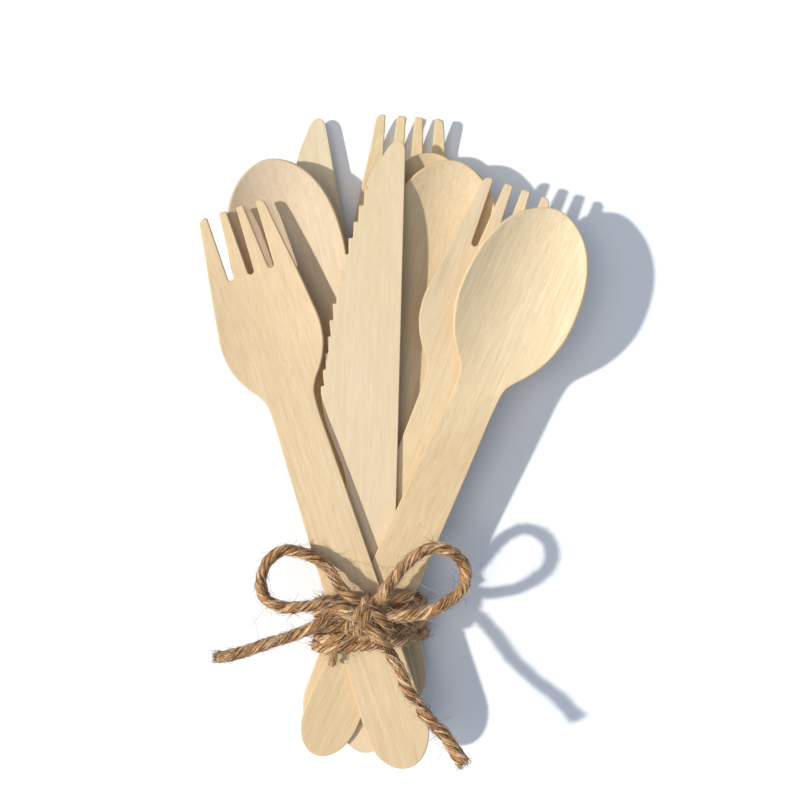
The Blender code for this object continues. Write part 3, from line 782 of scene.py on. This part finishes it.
free_cord("bow_loop_left", "twine_loop_left", ((-10.8, -54.2, 23.9),) + LOOP_LEFT + ((-12.2, -56.6, 24.9),), 2)
free_cord("bow_loop_right", "twine_loop_right", ((-6.6, -54.3, 24.0),) + LOOP_RIGHT + ((-5.2, -57.4, 24.3),), 3)
tail_left = free_cord("bow_tail_left", "twine_tail_left", TAIL_LEFT_ROOT + TAIL_LEFT, 4, swell=0.08)
tail_right = free_cord("bow_tail_right", "twine_tail_right", TAIL_RIGHT_ROOT + TAIL_RIGHT, 5, swell=0.3)


# ------------------------------------------------------------------ loose hairs and frayed ends
def hair_mesh(name, lines):
    """Thin closed three-sided tubes along many short lines; each line is (points, radius at root, at tip)."""
    pts, faces = [], []
    for line, r0, r1 in lines:
        line = np.asarray(line)
        t = np.gradient(line, axis=0)
        t /= np.linalg.norm(t, axis=1)[:, None] + 1e-9
        side = np.cross(t, [0.31, 0.52, 0.79])
        side /= np.linalg.norm(side, axis=1)[:, None] + 1e-9
        up = np.cross(t, side)
        base = len(pts)
        m = len(line)
        for k in range(m):
            r = r0 + (r1 - r0) * k / (m - 1)
            for j in range(3):
                a = j * 2 * math.pi / 3
                pts.append(line[k] + (side[k] * math.cos(a) + up[k] * math.sin(a)) * r)
        for k in range(m - 1):
            for j in range(3):
                q = (j + 1) % 3
                faces.append((base + k * 3 + j, base + k * 3 + q, base + (k + 1) * 3 + q, base + (k + 1) * 3 + j))
        faces.append((base, base + 2, base + 1))
        faces.append((base + (m - 1) * 3, base + (m - 1) * 3 + 1, base + (m - 1) * 3 + 2))
    pts = (np.array(pts) - np.array([CENTRE[0], CENTRE[1], 0.0])) * MM
    mesh = bpy.data.meshes.new(name)
    mesh.from_pydata(pts.tolist(), [], faces)
    set_smooth(mesh)
    obj = link(name, mesh, HAIR)
    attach(obj, "root")
    return obj


def grow(start, way, reach, curl, bits=5, seed=None):
    """A hair that leaves start along way and curls."""
    axis = rng.normal(size=3)
    axis /= np.linalg.norm(axis)
    out = [np.array(start)]
    d = np.array(way) / np.linalg.norm(way)
    for k in range(bits):
        out.append(out[-1] + d * reach / bits)
        d = d + np.cross(axis, d) * curl / bits + rng.normal(size=3) * 0.08
        d /= np.linalg.norm(d)
    out = np.array(out)
    out[:, 2] = np.maximum(out[:, 2], 0.15)
    return out


fuzz = []
for p, t, n, b, r, length in STRANDS:
    many = int(length[-1] * 12)
    for _ in range(many):
        k = rng.randint(1, len(p) - 1)
        a = rng.uniform(0, 2 * math.pi)
        out = n[k] * math.cos(a) + b[k] * math.sin(a)
        if out[2] < -0.55:
            continue        # nothing to see underneath
        start = p[k] + out * (r[k] * 0.95)
        sign = 1 if rng.uniform() < 0.5 else -1
        short = rng.uniform() < 0.78
        way = (out * rng.uniform(0.08, 0.42 if short else 0.9) + t[k] * sign * rng.uniform(0.8, 1.2)
               + np.cross(t[k], out) * rng.uniform(-0.7, 0.7))
        reach = rng.uniform(1.0, 3.0) if short else rng.uniform(2.0, 5.0)
        fuzz.append((grow(start, way, reach, rng.normal() * (0.6 if short else 1.3), bits=4),
                     rng.uniform(0.06, 0.12) if short else rng.uniform(0.04, 0.065), 0.02))
hair_mesh("twine_fuzz", fuzz)

# long curly hairs that stand out from the bow, and the fringe where the tails are cut
wild = []
for which, share, count in ((2, (0.1, 0.9), 13), (3, (0.1, 0.95), 15), (4, (0.0, 0.8), 7), (5, (0.0, 0.9), 8), (0, (0.1, 1.0), 16)):
    order = {0: 0, 2: 7, 3: 8, 4: 9, 5: 10}[which]
    p, t, n, b, r, length = STRANDS[order]
    for _ in range(count):
        k = int(len(p) * rng.uniform(*share))
        k = min(max(k, 1), len(p) - 2)
        a = rng.uniform(0, 2 * math.pi)
        out = n[k] * math.cos(a) + b[k] * math.sin(a)
        if p[k][2] < 10:
            continue
        out = out + np.array([0, 0, 0.15])
        way = out * rng.uniform(0.5, 1.0) + t[k] * rng.uniform(-1, 1)
        wild.append((grow(p[k] + out * r[k] * 0.8, way, rng.uniform(6, 12), rng.normal() * 3.2, bits=12),
                     rng.uniform(0.05, 0.07), 0.03))
for p, spread, count, reach in ((tail_left, 1.25, 90, 2.2), (tail_right, 1.75, 150, 2.8)):
    t, n, b = frames_along(p)
    for _ in range(count):
        a = rng.uniform(0, 2 * math.pi)
        rad = spread * math.sqrt(rng.uniform(0, 1))
        out = n[-1] * math.cos(a) + b[-1] * math.sin(a)
        start = p[-5] + out * rad * 0.8
        way = t[-1] + out * 0.22 * rad / spread + rng.normal(size=3) * 0.07
        wild.append((grow(start, way, 1.8 + rng.uniform(0.1, 1.0) * reach * 0.6, rng.normal() * 0.35),
                     rng.uniform(0.09, 0.17), 0.05))
hair_mesh("twine_loose_hairs", wild)

# ------------------------------------------------------------------ floor and light
floor_mesh = bpy.data.meshes.new("floor")
floor_mesh.from_pydata([(-3, -3, 0), (3, -3, 0), (3, 3, 0), (-3, 3, 0)], [], [(0, 1, 2, 3)])
white, floor_tree, floor_shader = nodes_of("floor")
floor_shader.inputs["Base Color"].default_value = (0.9, 0.9, 0.9, 1)
floor_shader.inputs["Roughness"].default_value = 0.9
floor_shader.inputs["Specular IOR Level"].default_value = 0.1
link("floor", floor_mesh, white)

key_data = bpy.data.lights.new("key", "SUN")
key_data.energy = 3.2
key_data.angle = math.radians(2.2)
key_data.color = (1.0, 0.985, 0.955)
key = bpy.data.objects.new("key", key_data)
bpy.context.scene.collection.objects.link(key)
key.rotation_mode = "QUATERNION"
key.rotation_quaternion = Vector((1.24, 0.11, -1.245)).to_track_quat("-Z", "Y")

# a weak warm light from almost overhead keeps the shadows on the wood warm
fill_data = bpy.data.lights.new("fill", "SUN")
fill_data.energy = 0.65
fill_data.angle = math.radians(30)
fill_data.color = (1.0, 0.90, 0.76)
fill = bpy.data.objects.new("fill", fill_data)
bpy.context.scene.collection.objects.link(fill)
fill.rotation_mode = "QUATERNION"
fill.rotation_quaternion = Vector((0.3, 0.05, -1.0)).to_track_quat("-Z", "Y")

world = bpy.data.worlds.new("studio")
world.use_nodes = True
world.node_tree.nodes["Background"].inputs["Color"].default_value = (0.76, 1.01, 1.41, 1)
world.node_tree.nodes["Background"].inputs["Strength"].default_value = 0.315
bpy.context.scene.world = world
bpy.context.scene.view_settings.view_transform = "Standard"
